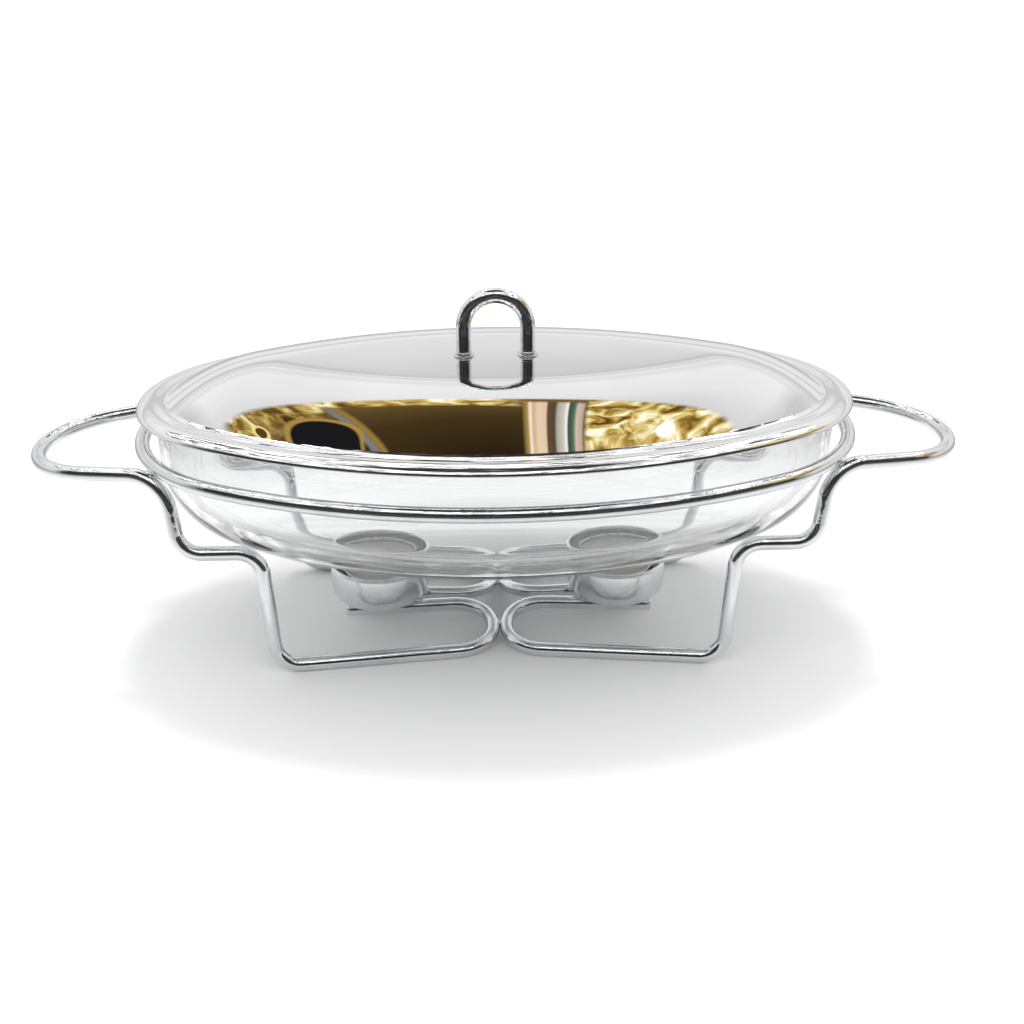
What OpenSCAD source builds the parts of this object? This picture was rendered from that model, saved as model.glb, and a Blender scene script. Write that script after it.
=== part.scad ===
// Chafing dish food warmer: an oval glass dish under a domed steel lid, resting in a bent-wire
// stand that carries two candle cups below the dish.
// Millimetres. Origin on the table at the middle of the stand, +X along the length, +Z up.

/* [Stand wire] */
// Diameter of the stand's round wire
wire_d = 7; // [6:0.5:7.5]
// Radius of the bend between foot and lower leg
foot_bend_r = 12.5; // [10:0.5:15]
// Radius of the two bends at the ends of the shelf
shelf_bend_r = 12; // [11:0.5:13]
// Radius of the bend from upper leg to handle
top_bend_r = 18; // [18:1:20]

/* [Support ring] */
// Half the length of the ring, on the wire's centre line
ring_half_l = 173.5; // [172.5:0.5:176]
// Half the width of the ring, on the wire's centre line
ring_half_w = 110; // [109:0.5:112]
// Radius of the ring's round ends
ring_end_r = 89; // [86:1:91]
// Height of the ring's centre line
ring_z = 106; // [106:0.5:108]

/* [Legs] */
// Distance from the middle to the corner of each foot
foot_x = 109; // [104:1:112]
// Distance from the long axis to the corner of each foot
foot_y = 57; // [52:0.5:60]
// Distance from the long axis to the inner end of each foot
foot_inner_y = 43.4; // [42.6:0.2:46]
// Distance from the middle to the shelf's inner bend
shelf_inner_x = 113.5; // [112:0.5:115]
// Distance from the middle to the shelf's outer bend
shelf_outer_x = 151; // [149:0.5:153]
// Distance from the long axis to the shelf
shelf_y = 54.5; // [54.5:0.5:58]
// Height of the shelf's centre line
shelf_z = 64; // [60:0.5:64]
// Distance from the middle to the top of each upper leg
leg_top_x = 155.5; // [154:0.5:156]
// Distance from the long axis to the top of each upper leg
leg_top_y = 52.3; // [51.5:0.1:53]

/* [Handles] */
// Distance from the middle to the tip of each handle, on the wire's centre line
handle_tip_x = 226; // [220:1:235]
// Radius of the handle's round end
handle_end_r = 42; // [38:1:44]
// Height of the handle's centre line above the legs
handle_z = 103; // [101:0.5:103]
// Angle by which the handles droop towards their tips, in degrees
handle_droop = 4; // [0:0.5:6]

/* [Cup rests] */
// Height of the centre line of the wires that carry the cups
rest_z = 9; // [7:0.5:12]
// Distance from the long axis to a rest wire, where it turns near the middle
rest_inner_y = 4.5; // [4:0.25:6]
// Distance from the long axis to the free end of a rest wire
rest_outer_y = 10; // [8:0.5:14]
// Distance from the middle to the free end of a rest wire
rest_end_x = 79; // [74:1:84]
// Radius of the turn between foot and rest wire
turn_r = 19; // [16:0.5:19]
// Gap between the two stand halves where they meet
turn_gap = 0.2; // [0.1:0.1:0.6]

/* [Candle cups] */
// Distance from the middle to each cup's axis
cup_x = 61.5; // [56:0.5:66]
// Outside diameter of a cup
cup_d = 51.4; // [48:0.2:54]
// Height of a cup
cup_h = 20.5; // [19:0.5:24]
// Sheet thickness of a cup
cup_wall = 1; // [0.8:0.1:1.5]
// Outside radius of the cup's bottom edge
cup_edge_r = 8; // [6:0.5:9]
// Thickness of the rolled bead along the cup's mouth
cup_bead = 1.8; // [1.4:0.1:2.2]

/* [Tealights] */
// Outside diameter of a tealight's foil cup
tealight_d = 38; // [36:0.5:40]
// Height of a tealight's foil cup
tealight_h = 16; // [12:0.5:17]
// Wall thickness of the foil cup
foil_wall = 0.5; // [0.4:0.1:0.8]
// Depth from the foil's mouth down to the wax
wax_drop = 3; // [1.5:0.5:5]
// Diameter of the wick
wick_d = 1.6; // [1.2:0.1:2]
// Height of the wick above the wax
wick_stand = 4; // [3:0.5:6]

/* [Lid outline] */
// Half the length of the lid
lid_half_l = 175; // [174:0.5:176]
// Half the width of the lid
lid_half_w = 104.9; // [104.7:0.1:106]
// Radius of the lid's round ends
lid_end_r = 74.7; // [74:0.1:77]

/* [Lid] */
// Height of the lid's lowest edge
lid_z = 121.15; // [121.15:0.05:121.5]
// Sheet thickness of the lid
lid_sheet = 1.2; // [1:0.1:1.4]
// Distance from the lid's edge in to the crown of the rounded border
border_crown = 7; // [6.5:0.5:7.5]
// Distance from the lid's edge in to the foot of the dome
border_w = 13; // [12.5:0.5:14]
// Height of the border's crown above the lid's lowest edge
border_h = 4; // [4:0.1:4.4]
// Depth of the valley between border and dome, below the crown
valley_drop = 0.6; // [0.4:0.1:0.6]
// Rise of the dome above the valley
dome_rise = 17.55; // [16:0.05:18]
// Distance from the lid's edge in to where the dome levels out
dome_w = 72; // [66:1:76]
// How soon the dome levels out
dome_power = 2.2; // [2:0.1:2.6]

/* [Lid handle] */
// Diameter of the lid handle's wire
loop_d = 7.4; // [6.5:0.1:8]
// Distance between the two uprights of the lid handle, centre to centre
loop_span = 31; // [29:0.5:34]
// Height of the lid handle's top above the dome
loop_h = 33.5; // [31:0.5:38]
// Diameter of the studs at the lid handle's feet
stud_d = 5; // [4:0.5:5]
// Length of the studs below the top of the washers
stud_l = 9.5; // [9.5:0.5:11]
// Diameter of the washers on the lid handle
washer_d = 10; // [9.6:0.1:11]
// Thickness of the washers
washer_t = 1; // [0.8:0.1:1.2]
// Width across the flats of the nuts
nut_af = 8; // [7.5:0.5:9]
// Thickness of the nuts
nut_t = 4; // [3:0.5:4.5]

/* [Glass dish] */
// Half the length of the dish, at its wall
dish_half_l = 166; // [165.5:0.1:166]
// Half the width of the dish, at its wall
dish_half_w = 102.5; // [102:0.1:102.5]
// Radius of the dish's round ends
dish_end_r = 71; // [70.5:0.1:71.5]
// Outward lean of the wall from the ring up to the rim
dish_flare = 0.4; // [0.2:0.1:0.4]
// Height of the underside of the dish
dish_base_z = 54; // [54:0.25:55]
// Height where the straight wall turns into the curved side
dish_turn_z = 95; // [94:1:97]
// Width of the curved side, from the wall in to the base
dish_curve_w = 42; // [42:1:45]
// Fullness of the curved side
dish_power = 1.8; // [1.5:0.05:1.8]
// Thickness of the glass wall
glass_t = 4.6; // [4:0.1:5]
// Thickness of the dish's base
glass_base_t = 6.5; // [5:0.5:8]

/* [Hidden] */
$fn = 96;

chrome = [0.82, 0.83, 0.85];
steel = [0.75, 0.76, 0.78];
glass = [0.85, 0.92, 0.92, 0.4];
wax = [0.95, 0.93, 0.86];
foil = [0.86, 0.87, 0.88];

foot_z = wire_d / 2;
turn_x = wire_d / 2 + turn_gap / 2;
handle_run = handle_tip_x - handle_end_r - leg_top_x;
handle_angle = atan(leg_top_y / handle_run)
    - asin(handle_end_r / sqrt(handle_run ^ 2 + leg_top_y ^ 2));
apex_run = leg_top_y / tan(handle_angle);
apex_x = leg_top_x + apex_run;
apex_z = handle_z - apex_run * tan(handle_droop);
cup_z = rest_z + wire_d / 2;
tealight_z = cup_z + cup_wall + 0.3;
valley_z = lid_z + border_h - valley_drop;
dome_z = valley_z + dome_rise;
loop_foot_z = dome_z + washer_t;
loop_bend_r = loop_span / 2;
under_z = dome_z - lid_sheet;
dish_rim_z = valley_z - lid_sheet - 0.3;
rim_round = 1.4;
ring_lift = 50;
stud_clearance = 0.25;
curve_steps = 12;
border_steps = 6;
valley_steps = 3;
dome_steps = 9;
// Neighbouring pieces of one wire or sheet run into each other by lap, the bends and the
// round ends being thicker than their neighbours by step.
lap = 0.05;
step = 0.04;

// ---- paths and outlines ----

function unit(v) = v / norm(v);
function turn_of(a, b, c) = acos(max(-1, min(1, unit(b - a) * unit(c - b))));

// A straight piece of wire between two points.
module wire_straight(a, b, d) {
    v = b - a;
    translate(a)
        rotate([0, acos(v.z / norm(v)), atan2(v.y, v.x)])
            cylinder(d = d, h = norm(v));
}

// The round bend of radius r where the path a, b, c turns at b.
module wire_bend(a, b, c, r, d) {
    u = unit(b - a);
    w = unit(c - b);
    turn = turn_of(a, b, c);
    inward = unit(w - (w * u) * u);
    centre = b - u * r * tan(turn / 2) + inward * r;
    side = cross(-inward, u);
    multmatrix([
        [-inward.x, u.x, side.x, centre.x],
        [-inward.y, u.y, side.y, centre.y],
        [-inward.z, u.z, side.z, centre.z],
        [0, 0, 0, 1]
    ])
        rotate_extrude(angle = turn)
            translate([r, 0])
                circle(d = d);
}

// A wire along points p, bent with radius r[i] at each inner point i.
module bent_wire(p, r, d) {
    n = len(p);
    setback = [
        for (i = [0:n - 1])
            i == 0 || i == n - 1 ? 0 : r[i] * tan(turn_of(p[i - 1], p[i], p[i + 1]) / 2)
    ];
    for (i = [0:n - 2]) {
        u = unit(p[i + 1] - p[i]);
        from = i == 0 ? 0 : setback[i] - lap;
        to = i == n - 2 ? 0 : setback[i + 1] - lap;
        wire_straight(p[i] + u * from, p[i + 1] - u * to, d);
    }
    for (i = [1:n - 2])
        wire_bend(p[i - 1], p[i], p[i + 1], r[i], d + step);
}

// An oval of four arcs is set by its half length, half width and end radius: the ends turn
// about (end_c, 0) and the long sides about (0, -side_c), with radius side_r.
function end_c(l, w, r) = l - r;
function side_r(l, w, r) = ((l - r) ^ 2 + w ^ 2 - r ^ 2) / (2 * (w - r));
function side_c(l, w, r) = side_r(l, w, r) - w;
function side_half_angle(l, w, r) = atan(end_c(l, w, r) / side_c(l, w, r));

// The round ends of an oval: child 0 is drawn with x as distance from the end's own axis.
module oval_ends(l, w, r) {
    half = side_half_angle(l, w, r);
    for (turn = [0, 180])
        rotate(turn)
            translate([end_c(l, w, r), 0])
                rotate(half - 90)
                    rotate_extrude(angle = 180 - 2 * half)
                        children(0);
}

// The long sides of an oval, cut off at its long axis.
module oval_sides(l, w, r) {
    lap_angle = lap / side_r(l, w, r) * 180 / PI;
    half = side_half_angle(l, w, r) + lap_angle;
    for (turn = [0, 180])
        rotate(turn)
            intersection() {
                translate([0, -side_c(l, w, r)])
                    rotate(90 - half)
                        rotate_extrude(angle = 2 * half)
                            children(0);
                translate([-l, 0, 0])
                    cube([2 * l, 2 * w, 200]);
            }
}

// ---- stand ----

// Centre line of one stand half, from the front cup rest round the handle to the back one.
function frame_path() =
    let (front = [
        [rest_end_x, -rest_outer_y, rest_z],
        [turn_x, -rest_inner_y, rest_z],
        [turn_x, -foot_inner_y, foot_z],
        [foot_x, -foot_y, foot_z],
        [shelf_inner_x, -shelf_y, shelf_z],
        [shelf_outer_x, -shelf_y, shelf_z],
        [leg_top_x, -leg_top_y, handle_z]
    ])
    concat(
        front,
        [[apex_x, 0, apex_z]],
        [for (i = [len(front) - 1:-1:0]) [front[i].x, -front[i].y, front[i].z]]
    );
function frame_radii() =
    let (front = [0, turn_r, turn_r, foot_bend_r, shelf_bend_r, shelf_bend_r, top_bend_r])
    concat(front, [handle_end_r], [for (i = [len(front) - 1:-1:0]) front[i]]);

module frame_wire() {
    color(chrome) bent_wire(frame_path(), frame_radii(), wire_d);
}

module right_frame_wire() {
    frame_wire();
}

module left_frame_wire() {
    mirror([1, 0, 0]) frame_wire();
}

module support_ring() {
    color(chrome)
        translate([0, 0, ring_z]) {
            oval_ends(ring_half_l, ring_half_w, ring_end_r)
                translate([ring_end_r, 0])
                    circle(d = wire_d + step);
            translate([0, 0, -ring_lift])
                oval_sides(ring_half_l, ring_half_w, ring_end_r)
                    translate([side_r(ring_half_l, ring_half_w, ring_end_r), ring_lift])
                        circle(d = wire_d);
        }
}

// Weld metal where the ring rests against the top bend of each leg.
module ring_weld_beads() {
    color(chrome)
        for (sx = [-1, 1], sy = [-1, 1])
            translate([sx * (leg_top_x + 5.7), sy * (leg_top_y - 3.2), ring_z - 2.9])
                sphere(d = 5, $fn = 32);
}

// Weld metal where the two stand halves meet, front and back.
module turn_weld_beads() {
    color(chrome)
        for (sy = [-1, 1])
            translate([0, sy * (rest_inner_y + foot_inner_y) / 2, (rest_z + foot_z) / 2])
                sphere(d = 4.6, $fn = 32);
}

// ---- candle cups ----

// Section of a cup: outer wall with a rounded bottom edge, rolled bead along the mouth.
module cup_section() {
    outer = cup_d / 2;
    difference() {
        union() {
            square([outer - cup_edge_r, cup_edge_r]);
            translate([0, cup_edge_r])
                square([outer, cup_h - cup_edge_r]);
            intersection() {
                translate([outer - cup_edge_r, cup_edge_r])
                    circle(r = cup_edge_r);
                square([outer, cup_edge_r + 1]);
            }
        }
        translate([0, cup_wall])
            union() {
                square([outer - cup_edge_r, cup_h]);
                translate([0, cup_edge_r - cup_wall])
                    square([outer - cup_wall, cup_h]);
                intersection() {
                    translate([outer - cup_edge_r, cup_edge_r - cup_wall])
                        circle(r = cup_edge_r - cup_wall);
                    square([outer, cup_edge_r]);
                }
            }
    }
    translate([outer - cup_bead / 2, cup_h - cup_bead / 2])
        circle(d = cup_bead);
}

module candle_cup() {
    color(steel)
        translate([cup_x, 0, cup_z])
            rotate_extrude()
                cup_section();
}

module right_candle_cup() {
    candle_cup();
}

module left_candle_cup() {
    mirror([1, 0, 0]) candle_cup();
}

// Spot welds between each cup's floor and its two rest wires.
module cup_weld_beads() {
    along = (cup_x - turn_x) / (rest_end_x - turn_x);
    weld_y = rest_inner_y + along * (rest_outer_y - rest_inner_y);
    color(steel)
        for (sx = [-1, 1], sy = [-1, 1])
            translate([sx * cup_x, sy * weld_y, cup_z - 0.6])
                cylinder(d = 4, h = 0.6);
}

// ---- tealights ----

// Section of a thin open cup of outside diameter d.
module thin_cup_section(d, h, t) {
    difference() {
        square([d / 2, h]);
        translate([0, t])
            square([d / 2 - t, h]);
    }
}

module tealight_foil() {
    color(foil)
        translate([cup_x, 0, tealight_z])
            rotate_extrude()
                thin_cup_section(tealight_d, tealight_h, foil_wall);
}

// Pressed metal disc that holds the wick upright on the floor of the foil cup.
module wick_sustainer() {
    color(steel)
        translate([cup_x, 0, tealight_z + foil_wall])
            rotate_extrude() {
                translate([wick_d / 2, 0])
                    square([6 - wick_d / 2, 0.5]);
                translate([wick_d / 2, 0])
                    square([0.6, 4]);
            }
}

module tealight_wax() {
    inner_d = tealight_d - 2 * foil_wall;
    wax_h = tealight_h - foil_wall - wax_drop;
    color(wax)
        translate([cup_x, 0, tealight_z + foil_wall])
            difference() {
                cylinder(d = inner_d, h = wax_h);
                translate([0, 0, -1])
                    cylinder(d = wick_d, h = wax_h + 2);
                translate([0, 0, -1])
                    cylinder(r = 6, h = 1.5);
                translate([0, 0, -1])
                    cylinder(r = wick_d / 2 + 0.6, h = 5);
            }
}

module tealight_wick() {
    color([0.93, 0.92, 0.88])
        translate([cup_x, 0, tealight_z + foil_wall])
            cylinder(d = wick_d, h = tealight_h - foil_wall - wax_drop + wick_stand);
}

module right_tealight_foil() {
    tealight_foil();
}

module right_tealight_wax() {
    tealight_wax();
}

module right_tealight_wick() {
    tealight_wick();
}

module right_wick_sustainer() {
    wick_sustainer();
}

module left_tealight_foil() {
    mirror([1, 0, 0]) tealight_foil();
}

module left_tealight_wax() {
    mirror([1, 0, 0]) tealight_wax();
}

module left_tealight_wick() {
    mirror([1, 0, 0]) tealight_wick();
}

module left_wick_sustainer() {
    mirror([1, 0, 0]) wick_sustainer();
}

// ---- glass dish ----

// Curved side of the dish between a wall at inset a and a base at height z, as
// [inset from the wall, height].
function dish_curve(a, w, z, p = dish_power) = [
    for (i = [1:curve_steps])
        let (s = sin(90 * i / curve_steps))
        [a + w * (1 - (1 - s ^ p) ^ (1 / p)), dish_turn_z - (dish_turn_z - z) * s]
];

function dish_outside() = concat(
    [
        [rim_round - dish_flare, dish_rim_z],
        [-dish_flare, dish_rim_z - rim_round],
        [-dish_flare * 0.3, ring_z],
        [0, dish_turn_z]
    ],
    dish_curve(0, dish_curve_w, dish_base_z)
);

function dish_inside() = concat(
    [
        [glass_t - rim_round - dish_flare, dish_rim_z],
        [glass_t - dish_flare, dish_rim_z - rim_round],
        [glass_t - dish_flare * 0.3, ring_z],
        [glass_t, dish_turn_z]
    ],
    dish_curve(glass_t, dish_curve_w - 1.5, dish_base_z + glass_base_t)
);

// Section between an outer and an inner face for an arc of radius r, closed on the arc's axis.
module shell_section(outside, inside, r, grow) {
    polygon(concat(
        [for (p = outside) [r - p.x + grow, p.y - (p.x > glass_t ? grow : 0)]],
        [[0, outside[len(outside) - 1].y - grow]],
        [[0, inside[len(inside) - 1].y + grow]],
        [for (i = [len(inside) - 1:-1:0]) [r - inside[i].x - grow, inside[i].y + grow]]
    ));
}

module glass_dish() {
    side = side_r(dish_half_l, dish_half_w, dish_end_r);
    color(glass) {
        oval_ends(dish_half_l, dish_half_w, dish_end_r)
            shell_section(dish_outside(), dish_inside(), dish_end_r, step / 2);
        oval_sides(dish_half_l, dish_half_w, dish_end_r)
            shell_section(dish_outside(), dish_inside(), side, 0);
    }
}

// ---- lid ----

// Top face of the lid, with the sheet's thickness t taken off, from its edge in to the middle.
function lid_face(t) = concat(
    [
        for (i = [0:border_steps])
            let (a = 90 * i / border_steps)
            [border_crown - (border_crown - t) * cos(a), lid_z + (border_h - t) * sin(a)]
    ],
    [
        for (i = [1:valley_steps])
            let (k = i / valley_steps)
            [
                border_crown + (border_w - border_crown) * k,
                lid_z + border_h - t - valley_drop * (1 - cos(180 * k)) / 2
            ]
    ],
    [
        for (i = [1:dome_steps])
            let (k = i / dome_steps)
            [
                border_w + (dome_w - border_w) * k,
                valley_z - t + dome_rise * (1 - (1 - k) ^ dome_power)
            ]
    ]
);

module lid_section(r, grow) {
    top = lid_face(0);
    under = lid_face(lid_sheet);
    polygon(concat(
        [for (p = top) [r - p.x + (p.x < border_crown ? grow : 0), p.y + (p.x < 0.01 ? 0 : grow)]],
        [[0, dome_z + grow], [0, under_z - grow]],
        [
            for (i = [len(under) - 1:-1:0])
                let (p = under[i])
                [r - p.x - (p.x < border_crown ? grow : 0), p.y - (i == 0 ? 0 : grow)]
        ]
    ));
}

module lid_shell() {
    color(chrome)
        difference() {
            union() {
                oval_ends(lid_half_l, lid_half_w, lid_end_r)
                    lid_section(lid_end_r, step / 2);
                oval_sides(lid_half_l, lid_half_w, lid_end_r)
                    lid_section(side_r(lid_half_l, lid_half_w, lid_end_r), 0);
            }
            for (sx = [-1, 1])
                translate([sx * loop_span / 2, 0, under_z - 2])
                    cylinder(d = stud_d + 2 * stud_clearance, h = lid_sheet + 4);
        }
}

// Round-topped wire loop that stands on two washers and ends in a stud below each.
module lid_handle() {
    top_z = dome_z + loop_h - loop_d / 2;
    color(chrome) {
        translate([0, 0, top_z - loop_bend_r])
            rotate([90, 0, 0])
                rotate_extrude(angle = 180)
                    translate([loop_bend_r, 0])
                        circle(d = loop_d + step);
        for (sx = [-1, 1]) {
            translate([sx * loop_span / 2, 0, loop_foot_z])
                cylinder(d = loop_d, h = top_z - loop_bend_r - loop_foot_z + lap);
            translate([sx * loop_span / 2, 0, loop_foot_z - stud_l])
                cylinder(d = stud_d, h = stud_l + 1);
        }
    }
}

// A ring round a stud, drawn with its lower face at height z.
module stud_ring(d, h, z) {
    for (sx = [-1, 1])
        translate([sx * loop_span / 2, 0, z])
            difference() {
                cylinder(d = d, h = h);
                translate([0, 0, -1])
                    cylinder(d = stud_d + 2 * stud_clearance, h = h + 2);
            }
}

module lid_handle_washers() {
    color(steel) stud_ring(washer_d, washer_t, dome_z);
}

module lid_inner_washers() {
    color(steel) stud_ring(washer_d + 2, washer_t, under_z - washer_t);
}

// Hexagon nuts threaded on the studs under the lid.
module lid_nuts() {
    z = under_z - washer_t - nut_t;
    color(steel)
        for (sx = [-1, 1])
            translate([sx * loop_span / 2, 0, z])
                difference() {
                    cylinder(d = nut_af / cos(30), h = nut_t, $fn = 6);
                    translate([0, 0, -1])
                        cylinder(d = stud_d, h = nut_t + 2);
                }
}

// ---- calls ----
support_ring();
left_frame_wire();
right_frame_wire();
ring_weld_beads();
turn_weld_beads();
left_candle_cup();
right_candle_cup();
cup_weld_beads();
glass_dish();
lid_shell();
lid_handle();
lid_handle_washers();
lid_inner_washers();
lid_nuts();
left_tealight_foil();
left_tealight_wax();
left_tealight_wick();
left_wick_sustainer();
right_tealight_foil();
right_tealight_wax();
right_tealight_wick();
right_wick_sustainer();
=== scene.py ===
import math
import random
from functools import cache

import bmesh
import bpy
from mathutils import Matrix, Vector


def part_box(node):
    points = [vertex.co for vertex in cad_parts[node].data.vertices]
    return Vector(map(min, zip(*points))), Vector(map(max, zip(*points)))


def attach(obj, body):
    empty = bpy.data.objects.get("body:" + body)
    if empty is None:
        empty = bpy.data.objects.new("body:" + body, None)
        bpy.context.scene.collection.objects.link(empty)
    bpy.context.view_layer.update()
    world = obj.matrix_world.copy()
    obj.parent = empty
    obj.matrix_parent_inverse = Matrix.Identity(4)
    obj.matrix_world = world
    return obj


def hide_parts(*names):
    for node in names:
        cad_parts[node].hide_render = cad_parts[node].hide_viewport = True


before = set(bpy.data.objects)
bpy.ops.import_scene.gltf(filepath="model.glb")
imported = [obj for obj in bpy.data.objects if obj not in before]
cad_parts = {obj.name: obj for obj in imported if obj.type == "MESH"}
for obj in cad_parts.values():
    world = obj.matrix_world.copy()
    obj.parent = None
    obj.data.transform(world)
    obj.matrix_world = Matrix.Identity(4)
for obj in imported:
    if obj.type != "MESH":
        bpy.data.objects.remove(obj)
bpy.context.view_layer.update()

MM = 0.001
TAU = 2 * math.pi
ON_AXIS = 1e-7

# ---------------------------------------------------------------- camera

CAMERA_TARGET = Vector((0.0074, 0, 0.0582))
CAMERA_DISTANCE = 0.700
CAMERA_ELEVATION = math.radians(24.1)
CAMERA_AZIMUTH = math.radians(1.72)
CAMERA_ROLL = math.radians(-0.36)
CAMERA_LENS = 47.97


def make_camera():
    el, az = CAMERA_ELEVATION, CAMERA_AZIMUTH
    ahead = Vector((math.sin(az) * math.cos(el), math.cos(az) * math.cos(el), -math.sin(el)))
    right = ahead.cross(Vector((0, 0, 1))).normalized()
    up = right.cross(ahead)
    cr, sr = math.cos(CAMERA_ROLL), math.sin(CAMERA_ROLL)
    right, up = cr * right + sr * up, cr * up - sr * right
    data = bpy.data.cameras.new("camera")
    data.lens = CAMERA_LENS
    data.sensor_width = 36
    data.clip_start = 0.01
    data.clip_end = 50
    cam = bpy.data.objects.new("camera", data)
    bpy.context.scene.collection.objects.link(cam)
    place = Matrix((right, up, -ahead)).transposed().to_4x4()
    place.translation = CAMERA_TARGET - ahead * CAMERA_DISTANCE
    cam.matrix_world = place
    bpy.context.scene.camera = cam


# ---------------------------------------------------------------- sizes, read off the frame

WIRE_R = 3.5 * MM


def centre(node):
    low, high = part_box(node)
    return (Vector(low) + Vector(high)) / 2


def top(node):
    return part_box(node)[1][2]


def bottom(node):
    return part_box(node)[0][2]


def half_size(node):
    low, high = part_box(node)
    return (Vector(high) - Vector(low)) / 2


RING_Z = centre("support_ring").z
RING_HALF = half_size("support_ring")
RING_L = RING_HALF.x - WIRE_R
RING_W = RING_HALF.y - WIRE_R
RING_END_R = 89 * MM

LID_HALF = half_size("lid_shell")
LID_L, LID_W = LID_HALF.x, LID_HALF.y
LID_END_R = 74.7 * MM
LID_EDGE_Z = bottom("lid_shell")
DOME_Z = top("lid_shell")

DISH_BASE_Z = bottom("glass_dish")
DISH_RIM_Z = top("glass_dish")

CUP_X = centre("right_candle_cup").x
CUP_R = half_size("right_candle_cup").x
CUP_Z = bottom("right_candle_cup")
CUP_TOP = top("right_candle_cup")

FOIL_R = half_size("right_tealight_foil").x
FOIL_Z = bottom("right_tealight_foil")
FOIL_TOP = top("right_tealight_foil")
WAX_TOP = top("right_tealight_wax")
WICK_TOP = top("right_tealight_wick")

LOOP_TOP = top("lid_handle")
STUD_BOTTOM = bottom("lid_handle")
LOOP_R = half_size("lid_handle").y
LOOP_X = half_size("lid_handle").x - LOOP_R
STUD_R = 2.5 * MM
WASHER_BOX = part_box("lid_handle_washers")
INNER_WASHER_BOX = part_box("lid_inner_washers")
NUT_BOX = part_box("lid_nuts")


# ---------------------------------------------------------------- mesh helpers


def new_object(name, bm, smooth=True):
    bmesh.ops.recalc_face_normals(bm, faces=bm.faces)
    mesh = bpy.data.meshes.new(name)
    bm.to_mesh(mesh)
    bm.free()
    for face in mesh.polygons:
        face.use_smooth = smooth
    obj = bpy.data.objects.new(name, mesh)
    bpy.context.scene.collection.objects.link(obj)
    return obj


def sharpen(obj, degrees=35):
    """Keeps edges steeper than this crisp while the rest shades smoothly."""
    limit = math.radians(degrees)
    bm = bmesh.new()
    bm.from_mesh(obj.data)
    for edge in bm.edges:
        edge.smooth = len(edge.link_faces) == 2 and edge.calc_face_angle(0) < limit
    bm.to_mesh(obj.data)
    bm.free()


def loft(rings, wrap=False):
    """A closed skin over rings of equally many points; a ring of one point is a tip."""
    bm = bmesh.new()
    rows = [[bm.verts.new(p) for p in ring] for ring in rings]
    pairs = list(zip(rows, rows[1:]))
    if wrap:
        pairs.append((rows[-1], rows[0]))
    for a, b in pairs:
        count = max(len(a), len(b))
        for i in range(count):
            j = (i + 1) % count
            if len(a) == 1:
                bm.faces.new((a[0], b[j], b[i]))
            elif len(b) == 1:
                bm.faces.new((a[i], a[j], b[0]))
            else:
                bm.faces.new((a[i], a[j], b[j], b[i]))
    if not wrap:
        for row in (rows[0], rows[-1]):
            if len(row) > 2:
                bm.faces.new(row)
    return bm


def circle(x, y, z, radius_at, sides):
    """Points round (x, y), at the radius that radius_at gives for each angle."""
    ring = []
    for i in range(sides):
        a = TAU * i / sides
        r = radius_at(a)
        ring.append(Vector((x + r * math.cos(a), y + r * math.sin(a), z)))
    return ring


def lathe(name, profile, x=0.0, y=0.0, sides=96, wrap=False):
    """A turned piece from (radius, height) pairs; a pair on the axis closes it."""
    rings = []
    for r, z in profile:
        on_axis = r < ON_AXIS
        rings.append([Vector((x, y, z))] if on_axis else circle(x, y, z, lambda a: r, sides))
    return new_object(name, loft(rings, wrap=wrap))


def rounded_path(points, radii, arc_step=math.radians(4)):
    """Centre line through the points, with each inner corner turned at its radius."""
    pts = [Vector(p) for p in points]
    line = [pts[0]]
    for i in range(1, len(pts) - 1):
        u = (pts[i] - pts[i - 1]).normalized()
        w = (pts[i + 1] - pts[i]).normalized()
        turn = u.angle(w)
        start = pts[i] - u * radii[i] * math.tan(turn / 2)
        inward = (w - w.dot(u) * u).normalized()
        middle = start + inward * radii[i]
        steps = max(2, int(turn / arc_step))
        for k in range(steps + 1):
            a = turn * k / steps
            line.append(middle - inward * radii[i] * math.cos(a) + u * radii[i] * math.sin(a))
    line.append(pts[-1])
    return line


def spaced(line, longest):
    """The same line with no step longer than this."""
    out = [line[0]]
    for a, b in zip(line, line[1:]):
        count = max(1, int(math.ceil((b - a).length / longest)))
        out.extend(a + (b - a) * k / count for k in range(1, count + 1))
    return out


def line_tangents(line, closed):
    count = len(line)
    tangents = []
    for i in range(count):
        if closed:
            before, after = line[i - 1], line[(i + 1) % count]
        else:
            before, after = line[max(i - 1, 0)], line[min(i + 1, count - 1)]
        tangents.append((after - before).normalized())
    return tangents


def untwisted_normals(tangents, closed):
    """A sideways direction at each point that turns as little as it can along the line."""
    normal = tangents[0].orthogonal().normalized()
    normals = [normal]
    for a, b in zip(tangents, tangents[1:]):
        turn = a.rotation_difference(b)
        normal = turn @ normal
        normals.append((normal - normal.dot(b) * b).normalized())
    if not closed:
        return normals
    last = tangents[-1].rotation_difference(tangents[0]) @ normals[-1]
    slip = math.atan2(tangents[0].dot(last.cross(normals[0])), last.dot(normals[0]))
    count = len(normals)
    return [Matrix.Rotation(slip * i / count, 3, tangents[i]) @ n for i, n in enumerate(normals)]


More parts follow.
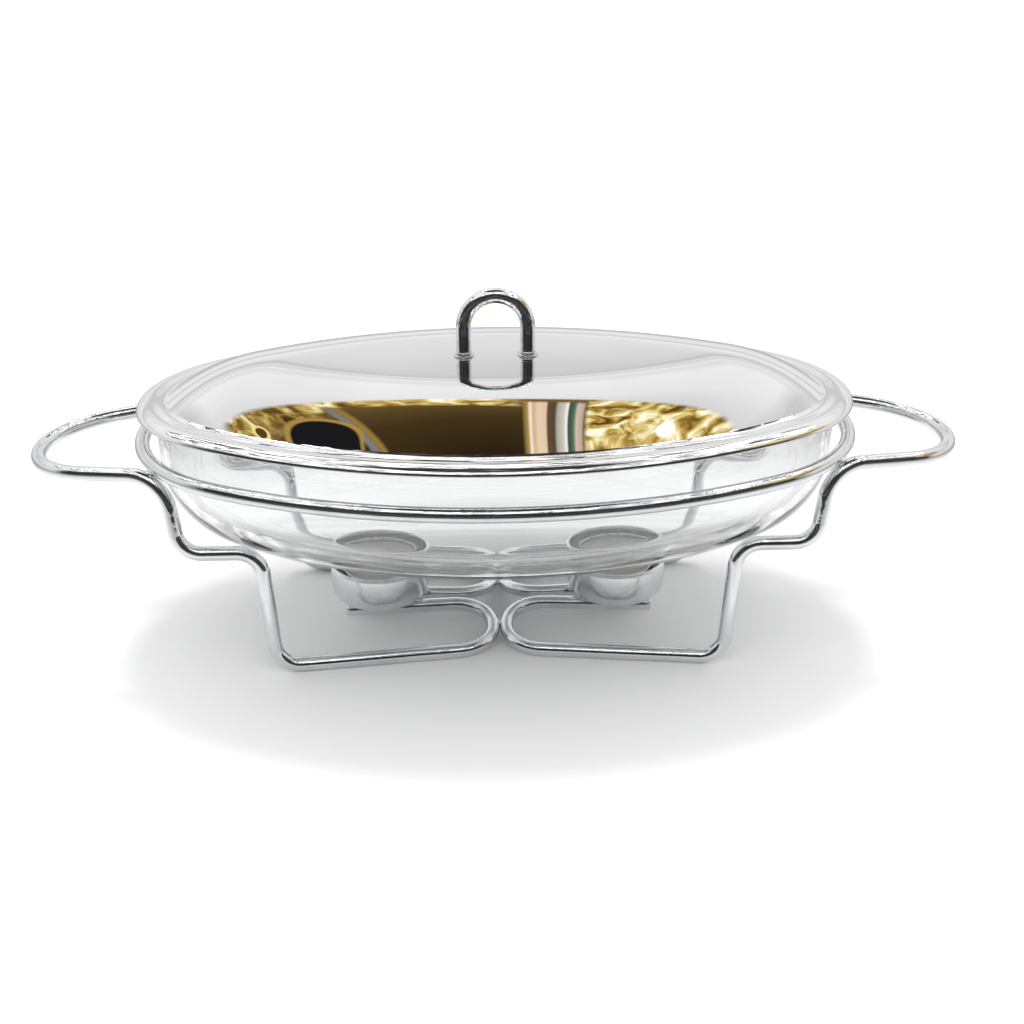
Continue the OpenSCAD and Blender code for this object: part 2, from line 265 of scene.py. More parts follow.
def sweep(name, line, radius, sides=28, closed=False, end_bevel=0.0):
    """A round wire along a centre line, with cut ends that may be slightly bevelled."""
    tangents = line_tangents(line, closed)
    normals = untwisted_normals(tangents, closed)
    rings = []
    for i, p in enumerate(line):
        n = normals[i]
        b = tangents[i].cross(n)
        rings.append([
            p + (n * math.cos(TAU * k / sides) + b * math.sin(TAU * k / sides)) * radius
            for k in range(sides)
        ])
    if end_bevel and not closed:
        k = 1 - end_bevel / radius
        first = [line[0] + (q - line[0]) * k for q in rings[0]]
        final = [line[-1] + (q - line[-1]) * k for q in rings[-1]]
        rings[0] = [q + tangents[0] * end_bevel for q in rings[0]]
        rings[-1] = [q - tangents[-1] * end_bevel for q in rings[-1]]
        rings = [first] + rings + [final]
    return new_object(name, loft(rings, wrap=closed))


# ---------------------------------------------------------------- four-arc ovals


class Oval:
    """An oval of four arcs with parallel inner copies."""

    def __init__(self, half_l, half_w, end_r):
        self.end_r = end_r
        self.end_c = half_l - end_r
        self.side_r = ((half_l - end_r) ** 2 + half_w ** 2 - end_r ** 2) / (2 * (half_w - end_r))
        self.side_c = self.side_r - half_w
        self.half_angle = math.atan(self.end_c / self.side_c)

    def ring(self, inset, z, per_end=56, per_side=56):
        points = []
        end_sweep = math.pi - 2 * self.half_angle
        for turn in (0, 1):
            sign = -1 if turn else 1
            for i in range(per_end):
                a = -end_sweep / 2 + end_sweep * i / per_end
                r = self.end_r - inset
                points.append((sign * (self.end_c + r * math.cos(a)), sign * r * math.sin(a)))
            for i in range(per_side):
                a = math.pi / 2 - self.half_angle + 2 * self.half_angle * i / per_side
                r = self.side_r - inset
                points.append((sign * r * math.cos(a), sign * (r * math.sin(a) - self.side_c)))
        return [Vector((x, y, z)) for x, y in points]


def scaled_ring(ring, k, z):
    return [Vector((p.x * k, p.y * k, z)) for p in ring]


LID_OVAL = Oval(LID_L, LID_W, LID_END_R)
RING_OVAL = Oval(RING_L, RING_W, RING_END_R)


# ---------------------------------------------------------------- stand

FOOT_BEND = 12.5 * MM
SHELF_BEND = 12 * MM
TOP_BEND = 18 * MM
TURN_BEND = 19 * MM
HANDLE_BEND = 42 * MM
HANDLE_Z = 103 * MM
HANDLE_DROOP = math.radians(4)
HANDLE_TIP = 226 * MM
LEG_TOP = Vector((155.5 * MM, 52.3 * MM, HANDLE_Z))


def frame_line():
    """Centre line of the right half: cup rest, turn, foot, leg, shelf, leg, handle, and back."""
    run = HANDLE_TIP - HANDLE_BEND - LEG_TOP.x
    angle = math.atan(LEG_TOP.y / run) - math.asin(HANDLE_BEND / math.hypot(run, LEG_TOP.y))
    apex_run = LEG_TOP.y / math.tan(angle)
    apex = Vector((LEG_TOP.x + apex_run, 0, HANDLE_Z - apex_run * math.tan(HANDLE_DROOP)))
    rest_z = 9
    foot_z = 3.5
    shelf_z = 64
    front = [Vector(p) * MM for p in (
        (79, -10, rest_z),
        (3.6, -4.5, rest_z),
        (3.6, -43.4, foot_z),
        (109, -57, foot_z),
        (113.5, -54.5, shelf_z),
        (151, -54.5, shelf_z),
    )]
    front.append(Vector((LEG_TOP.x, -LEG_TOP.y, LEG_TOP.z)))
    radii = [0, TURN_BEND, TURN_BEND, FOOT_BEND, SHELF_BEND, SHELF_BEND, TOP_BEND]
    back = [Vector((p.x, -p.y, p.z)) for p in reversed(front)]
    return spaced(rounded_path(front + [apex] + back, radii + [HANDLE_BEND] + radii[::-1]), 6 * MM)


def make_frame_wires():
    line = frame_line()
    right = sweep("right_stand_wire", line, WIRE_R, sides=32, end_bevel=0.4 * MM)
    mirrored = [Vector((-p.x, p.y, p.z)) for p in line]
    left = sweep("left_stand_wire", mirrored, WIRE_R, sides=32, end_bevel=0.4 * MM)
    for piece, node in ((right, "right_frame_wire"), (left, "left_frame_wire")):
        dress(piece, "stand", chrome_material(), node)


def make_support_ring():
    line = RING_OVAL.ring(0, RING_Z, 80, 80)
    ring = sweep("ring_wire", line, WIRE_R, sides=32, closed=True)
    dress(ring, "stand", chrome_material(), "support_ring")


def blob(bm, at, size, rng, squash=Vector((1, 1, 1))):
    """An uneven rounded lump of weld metal."""
    made = bmesh.ops.create_icosphere(bm, subdivisions=3, radius=1.0)
    phases = [rng.uniform(0, TAU) for _ in range(6)]
    for v in made["verts"]:
        n = v.co.copy()
        bump = (
            math.sin(3 * n.x + phases[0]) * math.sin(4 * n.y + phases[1])
            + math.sin(5 * n.z + phases[2]) * math.sin(4 * n.x + phases[3])
            + 0.5 * math.sin(9 * n.y + phases[4]) * math.sin(8 * n.z + phases[5])
        )
        r = size * (1 + 0.09 * bump)
        v.co = Vector((n.x * squash.x, n.y * squash.y, n.z * squash.z)) * r + at


FOUR_CORNERS = [(sx, sy) for sx in (-1, 1) for sy in (-1, 1)]


def make_ring_welds(rng):
    bm = bmesh.new()
    low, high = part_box("ring_weld_beads")
    bead_r = (high[2] - low[2]) / 2
    bead = Vector((high[0] - bead_r, high[1] - bead_r, (low[2] + high[2]) / 2))
    for sx, sy in FOUR_CORNERS:
        at = Vector((sx * bead.x, sy * bead.y, bead.z))
        blob(bm, at, bead_r * 1.02, rng, Vector((1.0, 1.0, 0.9)))
        along = Vector((sx * -0.52, sy * 0.85, 0)) * bead_r
        blob(bm, at + along * 0.7, bead_r * 0.72, rng)
        blob(bm, at - along * 0.8, bead_r * 0.7, rng)
    piece = new_object("ring_welds", bm)
    dress(piece, "stand", weld_material(), "ring_weld_beads")


def make_turn_welds(rng):
    bm = bmesh.new()
    low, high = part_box("turn_weld_beads")
    bead_r = (high[2] - low[2]) / 2
    for sy in (-1, 1):
        at = Vector((0, sy * (high[1] - bead_r), (low[2] + high[2]) / 2))
        blob(bm, at, bead_r * 0.98, rng, Vector((0.8, 1.2, 0.9)))
    piece = new_object("turn_welds", bm)
    dress(piece, "stand", weld_material(), "turn_weld_beads")


def make_cup_welds(rng):
    bm = bmesh.new()
    low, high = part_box("cup_weld_beads")
    spot_r = 2 * MM
    for sx, sy in FOUR_CORNERS:
        at = Vector((sx * (high[0] - spot_r), sy * (high[1] - spot_r), low[2] + 0.2 * MM))
        blob(bm, at, spot_r, rng, Vector((1.3, 0.9, 0.28)))
    piece = new_object("cup_welds", bm)
    dress(piece, "stand", weld_material(), "cup_weld_beads")


def make_weld_beads():
    rng = random.Random(7)
    make_ring_welds(rng)
    make_turn_welds(rng)
    make_cup_welds(rng)


# ---------------------------------------------------------------- candle cups


def arc(cx, cz, r, start, end, steps):
    return [
        (
            cx + r * math.cos(math.radians(start + (end - start) * i / steps)),
            cz + r * math.sin(math.radians(start + (end - start) * i / steps)),
        )
        for i in range(steps + 1)
    ]


def cup_profile():
    """The spun cup from the middle of its base, up the outside, over the lip and back down."""
    wall = 1.0 * MM
    edge = 8 * MM
    bead = 0.9 * MM
    draft = 0.7 * MM
    r_low = CUP_R - draft
    outside = [(0, CUP_Z)] + [(r, CUP_Z) for r in (6 * MM, 12 * MM, 15 * MM)]
    outside += arc(r_low - edge, CUP_Z + edge, edge, -90, 0, 14)
    outside += [
        (r_low + draft * 0.5, (CUP_Z + edge + CUP_TOP) / 2),
        (CUP_R - 0.55 * MM, CUP_TOP - 2.2 * bead),
    ]
    lip = arc(CUP_R - bead, CUP_TOP - bead, bead, -70, 180, 14)
    inside = [(CUP_R - 2.2 * MM, CUP_TOP - 2.4 * bead)]
    inside += [(r_low - wall + draft * 0.4, (CUP_Z + edge + CUP_TOP) / 2)]
    inside += arc(r_low - edge, CUP_Z + edge, edge - wall, 0, -90, 12)
    floor = CUP_Z + wall
    inside += [(r, floor) for r in (15 * MM, 12 * MM, 9 * MM, 6 * MM, 0)]
    return outside + lip + inside


def make_cups():
    for side, sign in (("left", -1), ("right", 1)):
        cup = lathe(side + "_cup", cup_profile(), sign * CUP_X, 0, sides=128)
        dress(cup, "stand", cup_material(), side + "_candle_cup")


# ---------------------------------------------------------------- glass dish

DISH_FLARE = 0.4 * MM
DISH_END_R = 71 * MM
DISH_HALF = half_size("glass_dish")
DISH_OVAL = Oval(DISH_HALF.x - DISH_FLARE, DISH_HALF.y - DISH_FLARE, DISH_END_R)
DISH_TURN_Z = 95 * MM
DISH_CURVE_W = 42 * MM
DISH_POWER = 1.8
GLASS_T = 4.6 * MM
GLASS_BASE_T = 6.5 * MM


def dish_curve(inset, width, base_z, steps):
    """The bowl's side, from the end of its straight wall round to the flat base."""
    out = []
    for i in range(1, steps + 1):
        s = math.sin(math.pi / 2 * i / steps)
        o = inset + width * (1 - (1 - s ** DISH_POWER) ** (1 / DISH_POWER))
        out.append((o, DISH_TURN_Z - (DISH_TURN_Z - base_z) * s))
    return out


def dish_wall(shift):
    """The straight wall from the rounded rim down, moved in by the glass thickness or not."""
    upper = (DISH_RIM_Z + RING_Z) / 2
    return [
        (shift - DISH_FLARE * 0.8, upper),
        (shift - DISH_FLARE * 0.3, RING_Z),
        (shift, DISH_TURN_Z + 4 * MM),
        (shift, DISH_TURN_Z),
    ]


def dish_rim(side):
    """Half of the fire-polished rim, from its top down the outer or the inner face."""
    lip = GLASS_T / 2
    middle = lip - DISH_FLARE
    quarter = [math.pi / 2 * i / 8 for i in range(9)]
    return [
        (middle + side * lip * math.sin(a), DISH_RIM_Z - lip * (1 - math.cos(a)))
        for a in quarter
    ]


def make_dish():
    outside = dish_rim(-1) + dish_wall(0) + dish_curve(0, DISH_CURVE_W, DISH_BASE_Z, 26)
    inside = dish_rim(1)[1:] + dish_wall(GLASS_T)
    inside += dish_curve(GLASS_T, DISH_CURVE_W - 1.5 * MM, DISH_BASE_Z + GLASS_BASE_T, 26)
    flat = (0.96, 0.85, 0.7, 0.55, 0.4, 0.25, 0.1)
    rings = []
    for face, order in ((inside, -1), (outside, 1)):
        inset, z = face[-1]
        last = DISH_OVAL.ring(inset, z)
        part = [DISH_OVAL.ring(o, h) for o, h in face]
        part += [scaled_ring(last, k, z) for k in flat]
        part.append([Vector((0, 0, z))])
        rings += part[::order]
    dish = new_object("clear_dish", loft(rings))
    dress(dish, "dish", glass_material(), "glass_dish")


# ---------------------------------------------------------------- lid

LID_SHEET = 1.2 * MM
CROWN_INSET = 7 * MM
CROWN_H = 4 * MM
BORDER_W = 13 * MM
VALLEY_DROP = 0.6 * MM
DOME_W = 72 * MM
DOME_POWER = 2.2
FOOT_BLEND = 1.1 * MM
VALLEY_Z = LID_EDGE_Z + CROWN_H - VALLEY_DROP
DOME_RISE = DOME_Z - VALLEY_Z


def lid_profile(t):
    """Face of the lid from its edge inwards, with thickness t taken off the top."""
    face = []
    crown_steps, valley_steps, dome_steps = 14, 8, 48
    for i in range(crown_steps + 1):
        a = math.pi / 2 * i / crown_steps
        inset = CROWN_INSET - (CROWN_INSET - t) * math.cos(a)
        face.append((inset, LID_EDGE_Z + (CROWN_H - t) * math.sin(a)))
    for i in range(1, valley_steps + 1):
        k = i / valley_steps
        drop = VALLEY_DROP * (1 - math.cos(math.pi * k)) / 2
        inset = CROWN_INSET + (BORDER_W - CROWN_INSET) * k
        face.append((inset, LID_EDGE_Z + CROWN_H - t - drop))
    width = DOME_W - BORDER_W
    inner = [(0.0, 0.0)]
    for i in range(1, dome_steps + 1):
        x = width * (i / dome_steps) ** 1.8
        last_x, last_z = inner[-1]
        mid = (x + last_x) / 2
        slope = (1 - mid / width) ** (DOME_POWER - 1) * (1 - math.exp(-(mid / FOOT_BLEND) ** 2))
        inner.append((x, last_z + slope * (x - last_x)))
    rise = DOME_RISE / inner[-1][1]
    face += [(BORDER_W + x, VALLEY_Z - t + z * rise) for x, z in inner[1:]]
    return face


def make_lid_shell():
    rings = []
    flat = [0.04, 0.12, 0.25, 0.4, 0.55, 0.7, 0.85]
    for t in (0, LID_SHEET):
        face = lid_profile(t)
        last = LID_OVAL.ring(*face[-1])
        part = [LID_OVAL.ring(o, z) for o, z in face]
        part += [scaled_ring(last, k, face[-1][1]) for k in reversed(flat)]
        part.append([Vector((0, 0, face[-1][1]))])
        rings = part[::-1] if t == 0 else rings + part
    lid = new_object("domed_lid", loft(rings))
    dress(lid, "lid", lid_material(), "lid_shell")


def make_lid_handle():
    arch_z = LOOP_TOP - LOOP_R - LOOP_X
    foot = WASHER_BOX[1][2]
    points = [Vector((-LOOP_X, 0, foot)), Vector((-LOOP_X, 0, arch_z))]
    arch_steps = 48
    for i in range(1, arch_steps):
        a = math.pi - math.pi * i / arch_steps
        points.append(Vector((LOOP_X * math.cos(a), 0, arch_z + LOOP_X * math.sin(a))))
    points += [Vector((LOOP_X, 0, arch_z)), Vector((LOOP_X, 0, foot))]
    loop = sweep("lid_loop", spaced(points, 2.5 * MM), LOOP_R, sides=36, end_bevel=0.5 * MM)
    dress(loop, "lid", chrome_material(), "lid_handle")
    for side, sign in (("left", -1), ("right", 1)):
        stud = lathe(side + "_stud", stud_profile(foot), sign * LOOP_X, 0, sides=48)
        dress(stud, "lid", fastener_material())


def stud_profile(upper):
    """A threaded stud, drawn as a row of fine grooves."""
    pitch = 0.8 * MM
    depth = 0.35 * MM
    low = STUD_BOTTOM
    out = [(0, low), (STUD_R - 0.9 * MM, low), (STUD_R - depth, low + 0.5 * MM)]
    z = low + 0.5 * MM
    while z + pitch < upper:
        out += [(STUD_R, z + pitch * 0.5), (STUD_R - depth, z + pitch)]
        z += pitch
    return out + [(STUD_R - depth, upper + 0.4 * MM), (0, upper + 0.4 * MM)]


def washer_profile(r_out, r_in, low, high, edge=0.25 * MM):
    return [
        (r_in, low + edge), (r_in + edge, low), (r_out - edge, low), (r_out, low + edge),
        (r_out, high - edge), (r_out - edge, high), (r_in + edge, high), (r_in, high - edge),
    ]


def make_washers():
    bore = STUD_R + 0.25 * MM
    for name, box in (("lid_handle_washers", WASHER_BOX), ("lid_inner_washers", INNER_WASHER_BOX)):
        r_out = (box[1][1] - box[0][1]) / 2
        for side, sign in (("left", -1), ("right", 1)):
            profile = washer_profile(r_out, bore, box[0][2], box[1][2])
            piece = lathe(side + "_" + name, profile, sign * LOOP_X, 0, sides=64, wrap=True)
            sharpen(piece, 50)
            dress(piece, "lid", fastener_material(), name)


HALF_FLAT = math.radians(30)


def make_nuts():
    """Hexagon nuts with turned chamfers, on the studs inside the lid."""
    low, high = NUT_BOX[0][2], NUT_BOX[1][2]
    flat_r = min(NUT_BOX[1][1], NUT_BOX[1][0] - LOOP_X)
    corner = flat_r / math.cos(HALF_FLAT)
    chamfer = 0.6 * MM
    bore_edge = 0.4 * MM
    rows = (
        (STUD_R, low + bore_edge, False), (STUD_R + bore_edge, low, False),
        (flat_r * 0.97, low, False), (corner, low + chamfer, True),
        (corner, high - chamfer, True), (flat_r * 0.97, high, False),
        (STUD_R + bore_edge, high, False), (STUD_R, high - bore_edge, False),
    )

    def radius_at(a, r, hexagonal):
        if not hexagonal:
            return r
        return min(r, flat_r / math.cos((a + HALF_FLAT) % (2 * HALF_FLAT) - HALF_FLAT))

    for side, sign in (("left", -1), ("right", 1)):
        rings = [
            circle(sign * LOOP_X, 0, z, lambda a: radius_at(a, r, hexagonal), 72)
            for r, z, hexagonal in rows
        ]
        piece = new_object(side + "_nut", loft(rings, wrap=True))
        sharpen(piece, 25)
        dress(piece, "lid", fastener_material(), "lid_nuts")


# ---------------------------------------------------------------- tealights


FOIL_WALL = 0.5 * MM
FLUTES = 60
FLUTE_DEPTH = 0.16 * MM
WAX_BOTTOM = FOIL_Z + FOIL_WALL + 0.45 * MM


def foil_rows():
    """(radius, height, fluted) from the middle of the base, up the outside and back inside."""
    r, low, high = FOIL_R, FOIL_Z, FOIL_TOP
    floor = low + FOIL_WALL
    return (
        (0, low, 0), (8 * MM, low + 0.3 * MM, 0), (14 * MM, low, 0),
        (r - 1.4 * MM, low, 0), (r - 0.5 * MM, low + 0.9 * MM, 1),
        (r - 0.35 * MM, low + 6 * MM, 1), (r - 0.3 * MM, high - 2.4 * MM, 1),
        (r - 0.5 * MM, high - 1.6 * MM, 0), (r - 0.1 * MM, high - 1.1 * MM, 0),
        (r, high - 0.6 * MM, 0), (r - 0.3 * MM, high - 0.1 * MM, 0),
        (r - 0.6 * MM, high, 0), (r - 1.0 * MM, high - 0.2 * MM, 0),
        (r - 1.15 * MM, high - 1 * MM, 0), (r - 1.0 * MM, high - 2.4 * MM, 1),
        (r - 1.0 * MM, low + 6 * MM, 1), (r - 1.1 * MM, low + 1.2 * MM, 1),
        (r - 1.8 * MM, floor, 0), (8 * MM, floor + 0.3 * MM, 0),
        (0, floor, 0),
    )


def make_foil(side, x):
    rings = []
    for r, z, fluted in foil_rows():
        if r < ON_AXIS:
            rings.append([Vector((x, 0, z))])
            continue
        wave = FLUTE_DEPTH if fluted else 0
        rings.append(circle(x, 0, z, lambda a: r + wave * math.cos(FLUTES * a), FLUTES * 6))
    foil = new_object(side + "_foil", loft(rings))
    dress(foil, side + "_tealight", foil_material(), side + "_tealight_foil")


def make_wax(side, x):
    """Wax that stands up a little at the foil and at the wick."""
    r = FOIL_R - 1.3 * MM
    profile = [
        (0, WAX_BOTTOM), (r - 0.8 * MM, WAX_BOTTOM), (r - 0.2 * MM, WAX_BOTTOM + 1 * MM),
        (r, WAX_TOP - 1 * MM), (r, WAX_TOP), (r - 0.5 * MM, WAX_TOP - 0.1 * MM),
        (r - 2 * MM, WAX_TOP - 0.35 * MM), (r - 6 * MM, WAX_TOP - 0.45 * MM),
        (6 * MM, WAX_TOP - 0.5 * MM), (2.6 * MM, WAX_TOP - 0.35 * MM),
        (1.2 * MM, WAX_TOP + 0.1 * MM), (0.8 * MM, WAX_TOP + 0.4 * MM), (0, WAX_TOP + 0.4 * MM),
    ]
    wax = lathe(side + "_wax", profile, x, 0, sides=96)
    dress(wax, side + "_tealight", wax_material(), side + "_tealight_wax")


def make_sustainer(side, x):
    low, high = WAX_BOTTOM, WAX_BOTTOM + 3.5 * MM
    profile = [
        (0, low), (5.8 * MM, low), (5.8 * MM, low + 0.3 * MM),
        (1.6 * MM, low + 0.5 * MM), (1.35 * MM, high), (0, high),
    ]
    piece = lathe(side + "_sustainer", profile, x, 0, sides=48)
    sharpen(piece)
    dress(piece, side + "_tealight", fastener_material(), side + "_wick_sustainer")


def wick_strand(x, start):
    """One strand's helix, leaning a little to one side."""
    steps, turns = 32, 2.2
    twist_r, lean = 0.36 * MM, 0.25 * MM
    low, length = WAX_TOP - 0.2 * MM, WICK_TOP - WAX_TOP + 0.1 * MM
    line = []
    for i in range(steps + 1):
        k = i / steps
        a = TAU * (start + turns * k)
        across = x + twist_r * math.cos(a) + lean * k * k
        line.append(Vector((across, twist_r * math.sin(a), low + length * k)))
    return line


def make_wick(side, x):
    strands = 3
    for i in range(strands):
        name = side + "_wick_strand_" + str(i)
        strand = sweep(name, wick_strand(x, i / strands), 0.42 * MM, sides=10, end_bevel=0.12 * MM)
        dress(strand, side + "_tealight", wick_material(), side + "_tealight_wick")


def make_tealights():
    for side, sign in (("left", -1), ("right", 1)):
        x = sign * CUP_X
        make_foil(side, x)
        make_wax(side, x)
        make_sustainer(side, x)
        make_wick(side, x)


# ---------------------------------------------------------------- materials

def shader(name, **values):
    """A material with a Principled shader; values go straight onto its sockets."""
    mat = bpy.data.materials.new(name)
    mat.use_nodes = True
    nodes = mat.node_tree.nodes
    bsdf = nodes["Principled BSDF"]
    for key, value in values.items():
        bsdf.inputs[key.replace("_", " ")].default_value = value
    return mat, nodes, mat.node_tree.links, bsdf


def noise(nodes, links, scale, detail=4.0, roughness=0.5, stretch=(1, 1, 1)):
    """Noise fixed to the object, drawn out along the axes whose stretch is small."""
    coords = nodes.new("ShaderNodeTexCoord")
    mapping = nodes.new("ShaderNodeMapping")
    mapping.inputs["Scale"].default_value = stretch
    tex = nodes.new("ShaderNodeTexNoise")
    tex.inputs["Scale"].default_value = scale
    tex.inputs["Detail"].default_value = detail
    tex.inputs["Roughness"].default_value = roughness
    links.new(coords.outputs["Object"], mapping.inputs["Vector"])
    links.new(mapping.outputs["Vector"], tex.inputs["Vector"])
    return tex.outputs["Fac"]


def ramp(nodes, links, source, stops):
    """Colours at places from 0 to 1 along the source."""
    node = nodes.new("ShaderNodeValToRGB")
    elements = node.color_ramp.elements
    while len(elements) < len(stops):
        elements.new(0.5)
    for element, (pos, colour) in zip(elements, stops):
        element.position = pos
        element.color = (*colour, 1)
    links.new(source, node.inputs["Fac"])
    return node.outputs["Color"]


def span(nodes, links, source, low, high, from_low=0.3, from_high=0.7):
    """The source's usual range, mapped onto low to high."""
    node = nodes.new("ShaderNodeMapRange")
    node.inputs["From Min"].default_value = from_low
    node.inputs["From Max"].default_value = from_high
    node.inputs["To Min"].default_value = low
    node.inputs["To Max"].default_value = high
    links.new(source, node.inputs["Value"])
    return node.outputs["Result"]


def bump(nodes, links, bsdf, source, strength, distance):
    node = nodes.new("ShaderNodeBump")
    node.inputs["Strength"].default_value = strength
    node.inputs["Distance"].default_value = distance
    links.new(source, node.inputs["Height"])
    links.new(node.outputs["Normal"], bsdf.inputs["Normal"])


@cache
def chrome_material():
    mat, nodes, links, bsdf = shader("bright_chrome", Metallic=1.0)
    tint = noise(nodes, links, 60, 3)
    links.new(
        ramp(nodes, links, tint, [(0.3, (0.74, 0.745, 0.76)), (0.7, (0.84, 0.845, 0.86))]),
        bsdf.inputs["Base Color"],
    )
    smear = noise(nodes, links, 180, 5, 0.6)
    links.new(span(nodes, links, smear, 0.02, 0.07), bsdf.inputs["Roughness"])
    wave = noise(nodes, links, 260, 2)
    bump(nodes, links, bsdf, wave, 0.2, 0.0004)
    return mat


@cache
def weld_material():
    mat, nodes, links, bsdf = shader("weld_metal", Metallic=1.0)
    tint = noise(nodes, links, 300, 4)
    links.new(
        ramp(nodes, links, tint, [(0.3, (0.62, 0.62, 0.64)), (0.7, (0.86, 0.86, 0.88))]),
        bsdf.inputs["Base Color"],
    )
    links.new(span(nodes, links, noise(nodes, links, 900, 4), 0.08, 0.22), bsdf.inputs["Roughness"])
    bump(nodes, links, bsdf, noise(nodes, links, 1100, 4), 0.5, 0.0004)
    return mat


@cache
def cup_material():
    mat, nodes, links, bsdf = shader("satin_cup_steel", Metallic=1.0)
    fine = noise(nodes, links, 220, 6, 0.6, (1, 1, 0.25))
    links.new(
        ramp(nodes, links, fine, [(0.3, (0.78, 0.79, 0.80)), (0.7, (0.88, 0.89, 0.90))]),
        bsdf.inputs["Base Color"],
    )
    links.new(span(nodes, links, noise(nodes, links, 120, 4), 0.16, 0.26), bsdf.inputs["Roughness"])
    grain = noise(nodes, links, 1500, 3, 0.5, (1, 1, 0.12))
    bump(nodes, links, bsdf, grain, 0.08, 0.0003)
    return mat


@cache
def lid_material():
    """A perfect mirror on the dome, and a softer polish on the border below it."""
    mat, nodes, links, bsdf = shader("mirror_lid_steel", Metallic=1.0)
    tint = noise(nodes, links, 14, 3)
    links.new(
        ramp(nodes, links, tint, [(0.3, (0.83, 0.83, 0.84)), (0.7, (0.90, 0.90, 0.90))]),
        bsdf.inputs["Base Color"],
    )
    smear = noise(nodes, links, 35, 5, 0.6, (1, 3, 1))
    coords = nodes.new("ShaderNodeTexCoord")
    parts = nodes.new("ShaderNodeSeparateXYZ")
    links.new(coords.outputs["Object"], parts.inputs["Vector"])
    below_dome = span(nodes, links, parts.outputs["Z"], 1.0, 0.0, VALLEY_Z + 0.7 * MM, VALLEY_Z + MM)
    satin = nodes.new("ShaderNodeMath")
    satin.operation = "MULTIPLY"
    links.new(span(nodes, links, smear, 0.04, 0.09), satin.inputs[0])
    links.new(below_dome, satin.inputs[1])
    links.new(satin.outputs["Value"], bsdf.inputs["Roughness"])
    wave = noise(nodes, links, 9, 1, 0.4, (0.6, 1.4, 1))
    bump(nodes, links, bsdf, wave, 0.25, 0.0012)
    return mat


@cache
def fastener_material():
    mat, nodes, links, bsdf = shader("turned_steel", Metallic=1.0)
    tint = noise(nodes, links, 200, 4)
    links.new(
        ramp(nodes, links, tint, [(0.3, (0.58, 0.58, 0.60)), (0.7, (0.72, 0.72, 0.74))]),
        bsdf.inputs["Base Color"],
    )
    links.new(span(nodes, links, noise(nodes, links, 700, 4), 0.14, 0.3), bsdf.inputs["Roughness"])
    bump(nodes, links, bsdf, noise(nodes, links, 2200, 3, 0.5, (1, 1, 0.2)), 0.15, 0.0002)
    return mat


@cache
def glass_material():
    """Clear glass that bends little. Lamp and bounce light pass straight through it, dimmed to 0.76
    at each surface: partly the glass's own loss, mostly painted shade under the dish.
    """
    mat, nodes, links, bsdf = shader(
        "clear_glass", Transmission_Weight=1.0, IOR=1.16, Coat_Weight=1.0, Coat_IOR=1.5,
        Coat_Roughness=0.02,
    )
    tint = noise(nodes, links, 30, 3)
    links.new(
        ramp(nodes, links, tint, [(0.3, (0.985, 0.992, 0.992)), (0.7, (1.0, 1.0, 1.0))]),
        bsdf.inputs["Base Color"],
    )
    links.new(
        span(nodes, links, noise(nodes, links, 40, 4, 0.5), 0.004, 0.014), bsdf.inputs["Roughness"]
    )
    ripple = noise(nodes, links, 22, 2, 0.4, (1, 1, 0.5))
    bump(nodes, links, bsdf, ripple, 0.12, 0.0012)
    output = nodes["Material Output"]
    path = nodes.new("ShaderNodeLightPath")
    # Painted shade: shadow and bounce rays see the glass as a grey see-through sheet, which darkens
    # the floor and the tealights under the dish.
    clear = nodes.new("ShaderNodeBsdfTransparent")
    clear.inputs["Color"].default_value = (0.76, 0.77, 0.77, 1)
    shade_dimmed_rays = nodes.new("ShaderNodeMath")
    shade_dimmed_rays.operation = "MAXIMUM"
    links.new(path.outputs["Is Shadow Ray"], shade_dimmed_rays.inputs[0])
    links.new(path.outputs["Is Diffuse Ray"], shade_dimmed_rays.inputs[1])
    mix = nodes.new("ShaderNodeMixShader")
    links.new(shade_dimmed_rays.outputs["Value"], mix.inputs["Fac"])
    links.new(bsdf.outputs["BSDF"], mix.inputs[1])
    links.new(clear.outputs["BSDF"], mix.inputs[2])
    links.new(mix.outputs["Shader"], output.inputs["Surface"])
    return mat


@cache
def foil_material():
    mat, nodes, links, bsdf = shader("tealight_foil", Metallic=1.0)
    tint = noise(nodes, links, 150, 4)
    # Darker than bright aluminium foil: partly the foil's own dull tone, partly painted shade for
    # the dark inside of the candle cups.
    links.new(
        ramp(nodes, links, tint, [(0.3, (0.62, 0.62, 0.63)), (0.7, (0.74, 0.74, 0.75))]),
        bsdf.inputs["Base Color"],
    )
    links.new(span(nodes, links, noise(nodes, links, 500, 4), 0.22, 0.38), bsdf.inputs["Roughness"])
    bump(nodes, links, bsdf, noise(nodes, links, 420, 4, 0.6), 0.35, 0.0004)
    return mat


@cache
def wax_material():
    mat, nodes, links, bsdf = shader("tealight_wax", Subsurface_Weight=0.35, Subsurface_Scale=0.004)
    tint = noise(nodes, links, 130, 4)
    # Greyer than fresh ivory wax: partly the wax's own tone, partly painted shade for the dark
    # inside of the candle cups.
    links.new(
        ramp(nodes, links, tint, [(0.3, (0.72, 0.70, 0.65)), (0.7, (0.80, 0.79, 0.75))]),
        bsdf.inputs["Base Color"],
    )
    links.new(span(nodes, links, noise(nodes, links, 260, 3), 0.35, 0.55), bsdf.inputs["Roughness"])
    bump(nodes, links, bsdf, noise(nodes, links, 180, 4), 0.2, 0.0005)
    return mat


